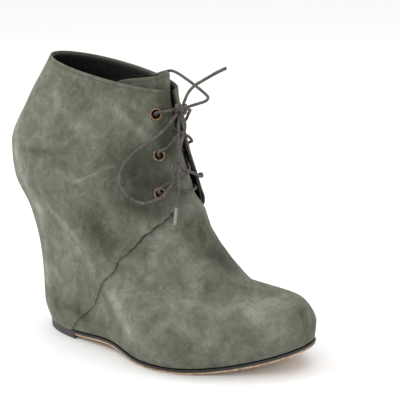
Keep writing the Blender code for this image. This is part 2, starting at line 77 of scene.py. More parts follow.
# Tilted sections from the sole to the collar, and one above it for the tongue
SECTION_COLUMNS = ("rise", "back_x", "back_z", "front_x", "front_z", "lateral", "medial", "widest",
                   "front_power", "back_power", "waist_lat", "waist_med", "toe_y")
SECTIONS = np.array((
    (0.00, 10.0, 6.0, 211.5, 12.0, 37.6, 35.0, .61, 2.1, 2.5, .10, .20, 9),
    (0.10, 7.0, 22.0, 211.8, 24.0, 44.0, 42.0, .61, 2.1, 2.5, .10, .18, 9),
    (0.20, 6.0, 42.0, 201.5, 41.5, 43.6, 41.0, .60, 2.0, 2.4, .08, .12, 9),
    (0.32, 2.0, 66.0, 179.2, 43.5, 38.6, 36.0, .56, 2.0, 2.3, .04, .05, 5),
    (0.44, -4.5, 88.0, 137.4, 86.0, 36.0, 35.0, .50, 2.0, 2.2, .00, .00, 1),
    (0.58, -17.0, 112.0, 129.2, 113.0, 37.8, 36.0, .45, 2.0, 2.1, .00, .00, 0),
    (0.70, -19.8, 134.0, 121.0, 138.0, 33.8, 33.0, .43, 2.0, 2.1, .00, .00, 0),
    (0.83, -4.8, 165.0, 115.8, 158.0, 30.2, 31.0, .45, 2.0, 2.0, .00, .00, 0),
    (1.00, 16.6, 197.2, 112.2, 176.7, 27.2, 28.3, .47, 2.0, 2.0, .00, .00, 0),
    (1.12, 28.0, 218.0, 112.0, 190.5, 26.6, 27.6, .47, 2.0, 2.0, .00, .00, 0),
))

# Front edge of the quarters, the seam over the vamp and then the throat: rise, near turn, far turn
EDGE = np.array((
    (0.000, 2.328, 2.328),
    (0.042, 2.259, 2.259),
    (0.103, 2.148, 2.148),
    (0.161, 2.029, 2.029),
    (0.236, 1.931, 1.931),
    (0.290, 1.833, 1.833),
    (0.372, 1.511, 1.511),
    (0.407, 1.194, 1.194),
    (0.445, .899, .899),
    (0.510, .542, .470),
    (0.533, .480, .410),
    (0.615, .395, .280),
    (0.707, .303, .160),
    (0.840, .220, .080),
    (1.000, .170, .030),
    (1.120, .150, .020),
))

# Eyelets from the bottom of the throat to its top, as turn and rise, the same on each side
EYELETS = ((0.619, 0.576), (0.516, 0.691), (0.500, 0.860))

KNOT = (120.4, -4.4, 165.6)
KNOT_SIZE = (7.0, 10.0, 9.0)
LOOP_NEAR = ((116.8, -14.0, 156.2), (110.8, -20.0, 148.4), (101.6, -26.4, 141.0),
             (95.2, -31.0, 133.5), (92.4, -34.4, 126.2), (93.0, -36.2, 118.9), (95.9, -36.2, 113.9),
             (101.2, -34.4, 108.9), (108.4, -31.4, 107.0), (115.2, -27.8, 109.2), (119.8, -24.6, 112.9),
             (123.4, -20.6, 119.8), (124.0, -16.4, 131.0), (122.4, -10.8, 146.0), (120.6, -8.0, 156.2))
LOOP_FAR_OUT = ((128.6, 4.6, 168.6), (131.4, 8.4, 169.8), (131.8, 11.0, 171.8),
                (128.4, 12.8, 174.0), (120.1, 16.0, 177.7), (109.5, 20.6, 181.6), (96.7, 27.0, 184.9))
LOOP_FAR_BACK = ((1.05, 1.02, 5.0), (1.32, 0.955, 4.0), (1.45, 0.88, 3.2), (1.38, 0.80, 3.2),
                 (1.1, 0.745, 3.2),
                 (0.8, 0.745, 3.2), (0.55, 0.79, 3.6), (0.36, 0.835, 4.8), (0.20, 0.860, 6.4))
END_UP = ((126.2, -5.0, 176.4), (131.4, -5.6, 181.6), (137.2, -6.2, 184.9),
          (142.6, -6.4, 187.9), (148.0, -6.4, 190.9), (154.3, -6.4, 193.9))
END_DOWN = ((127.0, -10.4, 155.0), (126.4, -15.2, 142.6), (127.2, -18.6, 128.0),
            (128.0, -21.0, 113.6), (127.6, -22.6, 106.6), (127.2, -24.4, 93.9))


def curve(x, xs, ys):
    """Piecewise cubic through (xs, ys) whose slopes are weighted harmonic means, so it never overshoots."""
    xs, ys = np.asarray(xs, float), np.asarray(ys, float)
    step, slope = np.diff(xs), np.diff(ys) / np.diff(xs)
    before, after = slope[:-1], slope[1:]
    turning = before * after <= 0
    w1, w2 = 2 * step[1:] + step[:-1], step[1:] + 2 * step[:-1]
    mean = (w1 + w2) / (w1 / np.where(turning, 1, before) + w2 / np.where(turning, 1, after))
    m = np.concatenate((slope[:1], np.where(turning, 0, mean), slope[-1:]))
    x = np.asarray(x, float)
    i = np.clip(np.searchsorted(xs, x, side="right") - 1, 0, len(step) - 1)
    s = (x - xs[i]) / step[i]
    return ((2 * s**3 - 3 * s**2 + 1) * ys[i] + (s**3 - 2 * s**2 + s) * step[i] * m[i]
            + (3 * s**2 - 2 * s**3) * ys[i + 1] + (s**3 - s**2) * step[i] * m[i + 1])


def ease(a, b, x):
    """0 below a, 1 above b, and 3s^2 - 2s^3 of the share s between."""
    s = np.clip((x - a) / (b - a), 0, 1)
    return s * s * (3 - 2 * s)


def sole_under(x):
    """Height of the sole's underside: zero at the ball, an eased arch behind, a square law before."""
    spring = TOE_SPRING * np.clip((x - BALL_X) / (TOE_X - BALL_X), 0, None) ** 2
    u = np.clip((FLAT_X - x) / (FLAT_X - BREAST_X), 0, 1)
    arch = ARCH * ease(0, 0.5, u) * (1 - 0.4 * ease(0.5, 1, u))
    return np.where(x > BALL_X, spring, arch)


def skirt_edge(x):
    """Height of the upper's lower edge, eased from the heel piece's top to the sole's top."""
    over_sole = sole_under(x) + SOLE_THICK + 3 * GAP
    return over_sole + (CAP_THICK + 2 * GAP - over_sole) * (1 - ease(BREAST_X - 6, BREAST_X + 6, x))


def skin(turn, rise):
    """The boot's surface in millimetres: a superellipse drawn in the tilted section at each rise."""
    turn, rise = np.broadcast_arrays(np.asarray(turn, float), np.asarray(rise, float))
    col = {name: curve(rise, SECTIONS[:, 0], SECTIONS[:, i]) for i, name in enumerate(SECTION_COLUMNS)}
    c, s = np.cos(turn), np.sin(turn)
    power = np.where(c > 0, col["front_power"], col["back_power"])
    full = (np.abs(c) ** power + np.abs(s) ** power) ** (-1 / power)
    span = col["front_x"] - col["back_x"]
    widest = col["back_x"] + col["widest"] * span
    reach = np.where(c > 0, col["front_x"] - widest, col["back_x"] - widest)
    x = widest + reach * np.abs(c) * full
    half = np.where(s > 0, col["medial"], col["lateral"])
    waist = np.where(s > 0, col["waist_med"], col["waist_lat"])
    half = half * (1 - waist * np.exp(-((x - 76) / 34) ** 2))
    along = np.clip((x - col["back_x"]) / span, 0, 1)
    y = half * s * full + col["toe_y"] * ease(0.45, 1, along)
    y = y - BALL_SWING * np.exp(-((x - 128) / 42) ** 2) * (1 - ease(0.10, 0.45, rise))
    z = col["back_z"] + (col["front_z"] - col["back_z"]) * along
    _, back_x, back_z, front_x, front_z = SECTIONS[0, :5]
    chord = back_z + (front_z - back_z) * np.clip((x - back_x) / (front_x - back_x), 0, 1)
    z = z + (1 - ease(0, 0.34, rise)) * (skirt_edge(x) - chord)
    return np.stack((x, y, z), -1)


def outward(turn, rise):
    """Unit normal of the skin, from central differences along turn and rise."""
    d = 0.02
    across = skin(turn + d, rise) - skin(turn - d, rise)
    up = skin(turn, rise + d) - skin(turn, rise - d)
    n = np.cross(across, up)
    return n / np.linalg.norm(n, axis=-1, keepdims=True)


def lifted(turn, rise, lift):
    """Skin plus lift times its normal. Near the lower edge the height is kept."""
    turn, rise = np.asarray(turn, float), np.asarray(rise, float)
    base = skin(turn, rise)
    point = base + outward(turn, rise) * np.asarray(lift, float)[..., None]
    low = ease(0, 0.03, rise)
    point[..., 2] = base[..., 2] + (point[..., 2] - base[..., 2]) * low
    return point


def place(points):
    """Table millimetres, less the origin, times 0.001."""
    return (np.asarray(points, float) - np.array((ORIGIN[0], ORIGIN[1], 0))) * MM


# Camera, fitted to the photograph
IMAGE_SIZE = 400
CAM_TURN, CAM_RISE, CAM_ROLL = radians(33.6), radians(15.0), radians(-0.25)
CAM_FAR, CAM_FOCAL = 685.0, 997.0          # millimetres from the target, focal length in pixels
CAM_TARGET = np.array((90.0, 0.0, 90.0))
CAM_AIM = np.array((131.8, 0.0, 105.1))
SENSOR = 36.0


def make_camera():
    """Camera at target + distance times the view direction, turned to the aim and rolled a little."""
    back = np.array((np.sin(CAM_TURN) * np.cos(CAM_RISE), -np.cos(CAM_TURN) * np.cos(CAM_RISE),
                     np.sin(CAM_RISE)))
    spot = CAM_TARGET + CAM_FAR * back
    ahead = (CAM_AIM - spot) / np.linalg.norm(CAM_AIM - spot)
    right = np.cross(ahead, (0, 0, 1))
    right /= np.linalg.norm(right)
    up = np.cross(right, ahead)
    c, s = np.cos(CAM_ROLL), np.sin(CAM_ROLL)
    right, up = c * right + s * up, c * up - s * right
    data = bpy.data.cameras.new("camera")
    data.sensor_width = SENSOR
    data.lens = SENSOR * CAM_FOCAL / IMAGE_SIZE
    data.clip_start, data.clip_end = 0.02, 50
    made = bpy.data.objects.new("camera", data)
    bpy.context.scene.collection.objects.link(made)
    turned = np.eye(4)
    turned[:3, 0], turned[:3, 1], turned[:3, 2], turned[:3, 3] = right, up, -ahead, place(spot)
    made.matrix_world = Matrix(turned.tolist())
    bpy.context.scene.camera = made


make_camera()

# Materials

def srgb(code):
    """Linear RGBA from a six-digit sRGB hex."""
    value = np.array([int(code[i:i + 2], 16) for i in (0, 2, 4)]) / 255
    linear = np.where(value <= 0.04045, value / 12.92, ((value + 0.055) / 1.055) ** 2.4)
    return (*linear.tolist(), 1.0)


def per_mm(size):
    """Pattern scale whose cells are about size millimetres on Object coordinates."""
    return 1 / (size * MM)


def node(tree, kind, values=None, links=None, **settings):
    """One node with its settings, its sockets' values and what feeds them."""
    made = tree.nodes.new(kind)
    for name, value in settings.items():
        setattr(made, name, value)
    for key, value in (values or {}).items():
        made.inputs[key].default_value = value
    for key, source in (links or {}).items():
        tree.links.new(source, made.inputs[key])
    return made


def new_material(name, **sockets):
    """A material with its shader's constants set on the shader itself."""
    made = bpy.data.materials.new(name)
    made.use_nodes = True
    tree = made.node_tree
    shader = tree.nodes["Principled BSDF"]
    for key, value in sockets.items():
        shader.inputs[key.replace("_", " ")].default_value = value
    return made, tree, shader


def ramp(tree, source, stops):
    """A colour ramp through (position, hex) stops."""
    made = node(tree, "ShaderNodeValToRGB", links={"Fac": source})
    marks = made.color_ramp.elements
    while len(marks) < len(stops):
        marks.new(0.5)
    for mark, (where, code) in zip(marks, stops):
        mark.position, mark.color = where, srgb(code)
    return made


def suede_material():
    """Split suede, buffed: a short nap that scatters light, so no gloss, a soft sheen at grazing
    angles and cloudy patches where the nap lies another way. Attribute nap adds the listed strokes:
    nap patches, painted highlights and painted shade."""
    made, tree, shader = new_material("suede_grey_green", Roughness=0.95, IOR=1.45, Sheen_Weight=0.16,
                                      Sheen_Roughness=0.55, Specular_IOR_Level=0.2)
    shader.inputs["Sheen Tint"].default_value = srgb("c4c6b8")
    coords = node(tree, "ShaderNodeTexCoord").outputs["Object"]
    brushed = node(tree, "ShaderNodeMapping", {"Rotation": (0, 0.5, 0.3), "Scale": (1.0, 1.0, 0.85)},
                   {"Vector": coords})
    cloud = node(tree, "ShaderNodeTexNoise", {"Scale": per_mm(19), "Detail": 5, "Roughness": 0.6,
                                              "Distortion": 1.1}, {"Vector": brushed.outputs[0]})
    mottle = node(tree, "ShaderNodeTexNoise", {"Scale": per_mm(5), "Detail": 4, "Roughness": 0.65,
                                               "Distortion": 0.8}, {"Vector": brushed.outputs[0]})
    # real fibres are 0.05 mm; drawn at 0.7 mm so that they show
    fibre = node(tree, "ShaderNodeTexNoise", {"Scale": per_mm(0.7), "Detail": 2, "Roughness": 0.7},
                 {"Vector": coords})
    # attribute nap: listed nap patches, painted highlights and painted shade, and the seam's painted shadow
    # and painted highlight
    nap = node(tree, "ShaderNodeAttribute", attribute_name="nap")
    tone = nap.outputs["Fac"]
    for noise, weight in ((cloud, 0.62), (mottle, 0.50), (fibre, 0.30)):
        part = node(tree, "ShaderNodeMath", {1: 0.5}, {0: noise.outputs["Fac"]}, operation="SUBTRACT")
        tone = node(tree, "ShaderNodeMath", {1: weight}, {0: part.outputs[0], 2: tone},
                    operation="MULTIPLY_ADD").outputs[0]
    shade = ramp(tree, tone, ((0.0, "33352b"), (0.28, "4b4d41"), (0.52, "66685b"), (0.76, "83857a"),
                              (1.0, "a2a49b")))
    tree.links.new(shade.outputs["Color"], shader.inputs["Base Color"])
    lumps = node(tree, "ShaderNodeTexNoise", {"Scale": per_mm(2.2), "Detail": 2}, {"Vector": coords})
    height = node(tree, "ShaderNodeMath", {1: 0.35}, {0: fibre.outputs["Fac"], 2: lumps.outputs["Fac"]},
                  operation="MULTIPLY_ADD")
    bump = node(tree, "ShaderNodeBump", {"Strength": 0.35, "Distance": 0.25 * MM},
                {"Height": height.outputs[0]})
    tree.links.new(bump.outputs["Normal"], shader.inputs["Normal"])
    return made


def lining_material():
    """Black lining calf, smooth and a little shiny, with fine creases that catch the light."""
    made, tree, shader = new_material("lining_black_calf", Roughness=0.5, IOR=1.5, Specular_IOR_Level=0.4)
    coords = node(tree, "ShaderNodeTexCoord").outputs["Object"]
    crease = node(tree, "ShaderNodeTexNoise", {"Scale": per_mm(9), "Detail": 5, "Roughness": 0.65,
                                               "Distortion": 1.5}, {"Vector": coords})
    grain = node(tree, "ShaderNodeTexVoronoi", {"Scale": per_mm(0.9)}, {"Vector": coords})
    shade = ramp(tree, crease.outputs["Fac"], ((0.3, "161514"), (0.55, "201f1d"), (0.75, "33322f")))
    tree.links.new(shade.outputs["Color"], shader.inputs["Base Color"])
    height = node(tree, "ShaderNodeMath", {1: 0.25},
                  {0: grain.outputs["Distance"], 2: crease.outputs["Fac"]},
                  operation="MULTIPLY_ADD")
    bump = node(tree, "ShaderNodeBump", {"Strength": 0.6, "Distance": 0.5 * MM},
                {"Height": height.outputs[0]})
    tree.links.new(bump.outputs["Normal"], shader.inputs["Normal"])
    return made


def lace_material():
    """Round braided cotton, waxed: a dull sheen, with the braid's diamonds in the bump.
    The braid is the product of two sines along the cord's two slants, on the cord's own UVs."""
    made, tree, shader = new_material("lace_waxed_cotton", Roughness=0.62, IOR=1.45,
                                      Specular_IOR_Level=0.35)
    uv = node(tree, "ShaderNodeUVMap", uv_map="UVMap")
    split = node(tree, "ShaderNodeSeparateXYZ", links={0: uv.outputs[0]})
    along = node(tree, "ShaderNodeMath", {1: 2 * pi / 1.1}, {0: split.outputs["X"]}, operation="MULTIPLY")
    round_it = node(tree, "ShaderNodeMath", {1: 2 * pi * 4}, {0: split.outputs["Y"]},
                    operation="MULTIPLY")
    waves = []
    for operation in ("ADD", "SUBTRACT"):
        slant = node(tree, "ShaderNodeMath", links={0: along.outputs[0], 1: round_it.outputs[0]},
                     operation=operation)
        waves.append(node(tree, "ShaderNodeMath", links={0: slant.outputs[0]},
                          operation="SINE").outputs[0])
    braid = node(tree, "ShaderNodeMath", links={0: waves[0], 1: waves[1]}, operation="MULTIPLY")
    coords = node(tree, "ShaderNodeTexCoord").outputs["Object"]
    wax = node(tree, "ShaderNodeTexNoise", {"Scale": per_mm(3), "Detail": 3}, {"Vector": coords})
    tone = node(tree, "ShaderNodeMath", {1: 0.03}, {0: braid.outputs[0], 2: wax.outputs["Fac"]},
                operation="MULTIPLY_ADD")
    shade = ramp(tree, tone.outputs[0], ((0.25, "38332f"), (0.5, "524c48"), (0.75, "6c6661")))
    tree.links.new(shade.outputs["Color"], shader.inputs["Base Color"])
    bump = node(tree, "ShaderNodeBump", {"Strength": 0.25, "Distance": 0.08 * MM},
                {"Height": braid.outputs[0]})
    tree.links.new(bump.outputs["Normal"], shader.inputs["Normal"])
    return made


def plain_material(name, stops, size, rough, depth, **sockets):
    """A surface with a mottled tone and a bump of the same grain. size and depth are millimetres."""
    made, tree, shader = new_material(name, Roughness=rough, **sockets)
    coords = node(tree, "ShaderNodeTexCoord").outputs["Object"]
    grain = node(tree, "ShaderNodeTexNoise", {"Scale": per_mm(size), "Detail": 5, "Roughness": 0.6},
                 {"Vector": coords})
    shade = ramp(tree, grain.outputs["Fac"], stops)
    tree.links.new(shade.outputs["Color"], shader.inputs["Base Color"])
    bump = node(tree, "ShaderNodeBump", {"Strength": 0.5, "Distance": depth * MM},
                {"Height": grain.outputs["Fac"]})
    tree.links.new(bump.outputs["Normal"], shader.inputs["Normal"])
    return made


SUEDE = suede_material()
LINING = lining_material()
LACE = lace_material()
# cotton thread, dull, darker than the suede: partly its own colour, partly painted shade of the stitch
# holes
THREAD = plain_material("thread_cotton", ((0.3, "44463c"), (0.7, "5b5d51")), 0.6, 0.8, 0.05)
# vegetable tanned sole leather, with pores and a rubbed surface
SOLE_TAN = plain_material("sole_leather_tan", ((0.3, "8d6f52"), (0.5, "b3977a"), (0.7, "cdb79b")), 3.0,
                          0.55, 0.15)
# sole edge painted with black edge ink, half gloss
SOLE_INK = plain_material("sole_edge_ink", ((0.3, "141312"), (0.7, "2a2826")), 1.5, 0.4, 0.06)
# moulded rubber, with a fine matt grain
RUBBER = plain_material("heel_rubber", ((0.3, "333331"), (0.7, "484745")), 0.8, 0.65, 0.06)
# antique brass plating, dull, with a mottled brown tone
BRASS = plain_material("eyelet_antique_brass", ((0.3, "5e4a3a"), (0.55, "8c735c"), (0.8, "b49c82")), 1.4,
                       0.34, 0.03,
                       Metallic=1.0)
# clear shrunk plastic film over the lace's end
TIP = plain_material("lace_tip_film", ((0.3, "6e6d6b"), (0.7, "8f8e8b")), 1.2, 0.3, 0.03, Coat_Weight=0.5)

# Meshes from grids and paths

def to_mesh(name, points, quads, look, sharp=None):
    """Puts table-millimetre points and faces into a mesh with foreach_set."""
    points, quads = place(points).reshape(-1, 3), np.asarray(quads, dtype=np.int64)
    size = quads.shape[1]
    mesh = bpy.data.meshes.new(name)
    mesh.vertices.add(len(points))
    mesh.vertices.foreach_set("co", points.astype(np.float32).ravel())
    mesh.loops.add(quads.size)
    mesh.loops.foreach_set("vertex_index", quads.ravel().astype(np.int32))
    mesh.polygons.add(len(quads))
    mesh.polygons.foreach_set("loop_start", np.arange(0, quads.size, size, dtype=np.int32))
    mesh.update(calc_edges=True)
    mesh.validate()
    mesh.shade_smooth()
    if sharp:
        mesh.set_sharp_from_angle(angle=radians(sharp))
    mesh.materials.append(look)
    made = bpy.data.objects.new(name, mesh)
    bpy.context.scene.collection.objects.link(made)
    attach(made, "root")
    return made


def grid_quads(rows, cols, closed=False, start=0):
    """Quads of a row-by-row grid whose columns may close on themselves."""
    i, j = np.meshgrid(np.arange(rows - 1), np.arange(cols if closed else cols - 1), indexing="ij")
    k = (j + 1) % cols
    return (start + np.stack((i * cols + j, i * cols + k, (i + 1) * cols + k, (i + 1) * cols + j),
                             -1)).reshape(-1, 4)


def ring_numbers(rows, cols):
    """Numbers of a grid's outer points, once round."""
    grid = np.arange(rows * cols).reshape(rows, cols)
    return np.concatenate((grid[0, :-1], grid[:-1, -1], grid[-1, :0:-1], grid[:0:-1, 0]))


def shell(name, outer, inner, look, bulge=0.35, attribute=None):
    """A sheet with thickness: outer and inner grids joined by a rim that is an arc.
    An arc's point is the middle plus cos of its angle times half the thickness plus sin times bulge
    along the sheet's own outward direction at the border."""
    rows, cols = outer.shape[:2]
    ring = ring_numbers(rows, cols)
    flat_out, flat_in = outer.reshape(-1, 3), inner.reshape(-1, 3)
    grid = np.arange(rows * cols).reshape(rows, cols)
    inside = np.clip(np.stack((ring // cols, ring % cols), -1), 1, (rows - 2, cols - 2))
    inward = flat_out[grid[inside[:, 0], inside[:, 1]]] - flat_out[ring]
    half = (flat_out[ring] - flat_in[ring]) / 2
    middle = (flat_out[ring] + flat_in[ring]) / 2
    side = np.roll(flat_out[ring], -1, 0) - np.roll(flat_out[ring], 1, 0)
    away = np.cross(side, half)
    away /= np.linalg.norm(away, axis=1, keepdims=True) + 1e-12
    away *= -np.sign((away * inward).sum(1, keepdims=True))
    angles = np.radians((36, 72, 108, 144))[:, None, None]
    arc = middle + np.cos(angles) * half + np.sin(angles) * bulge * away
    count, total = len(ring), rows * cols
    points = np.concatenate((flat_out, flat_in, arc.reshape(-1, 3)))
    quads = [grid_quads(rows, cols), grid_quads(rows, cols, start=total)[:, ::-1]]
    lines = [ring, *(2 * total + k * count + np.arange(count) for k in range(4)), total + ring]
    quads += [np.stack((b, np.roll(b, -1), np.roll(a, -1), a), -1) for a, b in zip(lines[:-1], lines[1:])]
    quads = np.concatenate(quads)
    # the grid's own winding decides which way is out
    middle_way = outer[rows // 2, cols // 2] - inner[rows // 2, cols // 2]
    a, b, c = (outer[rows // 2, cols // 2], outer[rows // 2, cols // 2 + 1],
               outer[rows // 2 + 1, cols // 2])
    if np.dot(np.cross(b - a, c - a), middle_way) < 0:
        quads = quads[:, ::-1]
    made = to_mesh(name, points, quads, look)
    if attribute is not None:
        flat = attribute.reshape(-1)
        values = np.concatenate((flat, flat, np.tile(flat[ring], 4))).astype(np.float32)
        made.data.attributes.new("nap", "FLOAT", "POINT").data.foreach_set("value", values)
    return made


def frames_along(path):
    """Tangents and two normals carried along a path without twist."""
    tangent = np.gradient(path, axis=0)
    tangent /= np.linalg.norm(tangent, axis=1, keepdims=True)
    first = np.cross(tangent[0], (0.3, 0.5, 0.8))
    normals = [first / np.linalg.norm(first)]
    for way in tangent[1:]:
        carried = normals[-1] - way * np.dot(normals[-1], way)
        normals.append(carried / np.linalg.norm(carried))
    normals = np.array(normals)
    return tangent, normals, np.cross(tangent, normals)


def tube_grid(path, radius, sides=14):
    """Rings of radius cos and sin in the path's frames, with two smaller ones to round each end."""
    path = np.asarray(path, float)
    tangent, a, b = frames_along(path)
    radius = np.broadcast_to(radius, len(path)).astype(float)
    dip = np.array((1.0, 0.92, 0.6, 0.02))
    out = np.array((0.0, 0.35, 0.75, 0.95))
    centres = np.concatenate((path[0] - tangent[0] * (out[:0:-1, None] * radius[0]), path,
                              path[-1] + tangent[-1] * (out[1:, None] * radius[-1])))
    radii = np.concatenate((radius[0] * dip[:0:-1], radius, radius[-1] * dip[1:]))
    a = np.concatenate((np.repeat(a[:1], 3, 0), a, np.repeat(a[-1:], 3, 0)))
    b = np.concatenate((np.repeat(b[:1], 3, 0), b, np.repeat(b[-1:], 3, 0)))
    angle = np.linspace(0, 2 * pi, sides, endpoint=False)
    rings = centres[:, None] + radii[:, None, None] * (np.cos(angle)[None, :, None] * a[:, None]
                                                       + np.sin(angle)[None, :, None] * b[:, None])
    run = np.concatenate(([0], np.cumsum(np.linalg.norm(np.diff(centres, axis=0), axis=1))))
    return rings, run


def tubes(name, paths, radius, look, sides=14):
    """One mesh of round cords along paths, with UVs: millimetres along, share of a turn round."""
    points, quads, uvs, start = [], [], [], 0
    for path in paths:
        rings, run = tube_grid(path, radius, sides)
        rows = len(rings)
        quad = grid_quads(rows, sides, closed=True, start=start)
        i, j = np.meshgrid(np.arange(rows - 1), np.arange(sides), indexing="ij")
        u = np.stack((run[i], run[i], run[i + 1], run[i + 1]), -1)
        v = np.stack((j, j + 1, j + 1, j), -1) / sides
        points.append(rings.reshape(-1, 3))
        quads.append(quad)
        uvs.append(np.stack((u, v), -1).reshape(-1, 2))
        start += rows * sides
    made = to_mesh(name, np.concatenate(points), np.concatenate(quads), look)
    layer = made.data.uv_layers.new(name="UVMap")
    layer.data.foreach_set("uv", np.concatenate(uvs).astype(np.float32).ravel())
    return made


def smooth_route(points, spacing):
    """Points evenly apart along a Catmull-Rom curve through the given ones."""
    points = np.asarray(points, float)
    ends = np.concatenate(([2 * points[0] - points[1]], points, [2 * points[-1] - points[-2]]))
    s = np.linspace(0, 1, 24, endpoint=False)[None, :, None]
    p0, p1, p2, p3 = (ends[k:k + len(points) - 1, None] for k in range(4))
    fine = 0.5 * (2 * p1 + (p2 - p0) * s + (2 * p0 - 5 * p1 + 4 * p2 - p3) * s**2
                  + (3 * p1 - p0 - 3 * p2 + p3) * s**3)
    fine = np.concatenate((fine.reshape(-1, 3), points[-1:]))
    run = np.concatenate(([0], np.cumsum(np.linalg.norm(np.diff(fine, axis=0), axis=1))))
    even = np.linspace(0, run[-1], max(3, int(round(run[-1] / spacing)) + 1))
    return np.stack([np.interp(even, run, fine[:, k]) for k in range(3)], -1)


# Laces

def edge_turns(rise):
    """Turns of the throat's near and far edge, the near one negative."""
    return -float(curve(rise, EDGE[:, 0], EDGE[:, 1])), float(curve(rise, EDGE[:, 0], EDGE[:, 2]))


EYELET_RING = 0.8
KNOT_CORD = 1.4                # radius of the cord drawn tight in the knot
THREAD_RADIUS = 0.27
OVER = QUARTER_FACE + EYELET_RING + 2 * GAP + LACE_RADIUS
EASED = QUARTER_FACE + GAP + LACE_RADIUS + 0.2
UNDER = INNER_FACE - GAP - LACE_RADIUS - 0.2


def eyelet_point(side, row, lift):
    """A point on the eyelet's own axis, lift millimetres off the skin."""
    turn, rise = EYELETS[row]
    turn = side * turn
    return skin(turn, rise) + outward(np.array(turn), np.array(rise)) * lift


def strand(side, row):
    """Out of an eyelet over its own edge, across, and under the other edge into the next eyelet."""
    (turn_a, rise_a), (_, rise_b) = EYELETS[row], EYELETS[row + 1]
    middle = (rise_a + rise_b) / 2
    near, far = edge_turns(middle)
    own, other = (near, far) if side < 0 else (far, near)
    centre = (near + far) / 2
    stops = ((side * turn_a, rise_a + 0.012, OVER + 0.3),
             (own + side * 0.12, rise_a + 0.030, EASED + 1.0),
             (own + side * 0.01, middle - 0.030, EASED), (centre, middle, -0.7),
             (other + side * 0.03, middle + 0.022, UNDER), (other - side * 0.12, middle + 0.036, UNDER))
    out = [eyelet_point(side, row, -2.0), eyelet_point(side, row, 0.6)]
    into = [eyelet_point(-side, row + 1, UNDER - 0.4), eyelet_point(-side, row + 1, -1.0)]
    return smooth_route(out + [lifted(t, r, h) for t, r, h in stops] + into, HELD_STEP)


def lace_bar_path():
    """The lowest bar, under both quarters and over the tongue, up into both lowest eyelets."""
    rise = EYELETS[0][1]
    stops = [lifted(t, rise, UNDER) for t in (-0.50, -0.40, -0.2, 0, 0.2, 0.35, 0.50)]
    return smooth_route([eyelet_point(-1, 0, -1.0)] + stops + [eyelet_point(1, 0, -1.0)], HELD_STEP)


def lace_tie_path():
    """Out of one top eyelet, over both edges and into the other, behind the knot."""
    turn, rise = EYELETS[2]
    stops = [lifted(t, rise + dr, h) for t, dr, h in
             ((-turn, .008, OVER + .5), (-0.33, .016, EASED + 1.4), (-0.2, .022, EASED + .3),
              (-0.07, .026, EASED),
              (0.06, .026, EASED + .2), (0.2, .022, EASED + .7), (0.33, .016, EASED + 1.4),
              (turn, .008, OVER + .5))]
    return smooth_route([eyelet_point(-1, 2, -2.0), eyelet_point(-1, 2, 0.6)] + stops
                        + [eyelet_point(1, 2, 0.6), eyelet_point(1, 2, -2.0)], HELD_STEP)


def from_knot(target):
    """Point just off the knot's ellipsoid, on the way to target."""
    centre, radii = np.array(KNOT), np.array(KNOT_SIZE) / 2
    way = np.asarray(target, float) - centre
    return centre + way / np.linalg.norm(way / radii) + way / np.linalg.norm(way) * GAP


def knot_path():
    """A trefoil: x sin t + 2 sin 2t, y cos t - 2 cos 2t, depth -sin 3t, fitted to the knot's size."""
    t = np.linspace(0, 2 * pi, 160)
    shape = np.stack((-np.sin(3 * t) * 1.1, np.sin(t) + 2 * np.sin(2 * t),
                      np.cos(t) - 2 * np.cos(2 * t)), -1)
    room = np.array(KNOT_SIZE) / 2 - KNOT_CORD
    return np.array(KNOT) + shape / np.abs(shape).max(0) * room


def make_laces():
    """Knot, loops and ends are free cords; bar, crossings and tie are held by the boot."""
    knot = tubes("lace_knot_wrap", [knot_path()], KNOT_CORD, LACE)
    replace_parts(knot, "lace_knot")
    for name, path, held in (("lace_bar_cord", [lace_bar_path()], "lace_bar"),
                             ("lace_tie_cord", [lace_tie_path()], "lace_tie"),
                             ("lace_cross_cord_1", [strand(-1, 0), strand(1, 0)], "lace_cross_1"),
                             ("lace_cross_cord_2", [strand(-1, 1), strand(1, 1)], "lace_cross_2")):
        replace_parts(tubes(name, path, LACE_RADIUS, LACE), held)
    far_loop = [*LOOP_FAR_OUT, *[lifted(t, r, h) for t, r, h in LOOP_FAR_BACK]]
    for name, route, returns in (("lace_loop_near", LOOP_NEAR, True), ("lace_loop_far", far_loop, True),
                                 ("lace_end_up", END_UP, False), ("lace_end_down", END_DOWN, False)):
        last = [from_knot(route[-1])] if returns else []
        path = smooth_route([from_knot(route[0]), *route, *last], FREE_STEP)
        cord = tubes(name + "_cord", [path], LACE_RADIUS, LACE)
        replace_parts(cord, name)
        pieces = []
        if not returns:
            tail = path[-14:]
            pieces = [tubes(name.replace("end", "tip"), [tail], LACE_RADIUS * 1.06,
                            TIP if name == "lace_end_down" else LACE)]
        if name == "lace_loop_near":
            pieces = [knot]


make_laces()
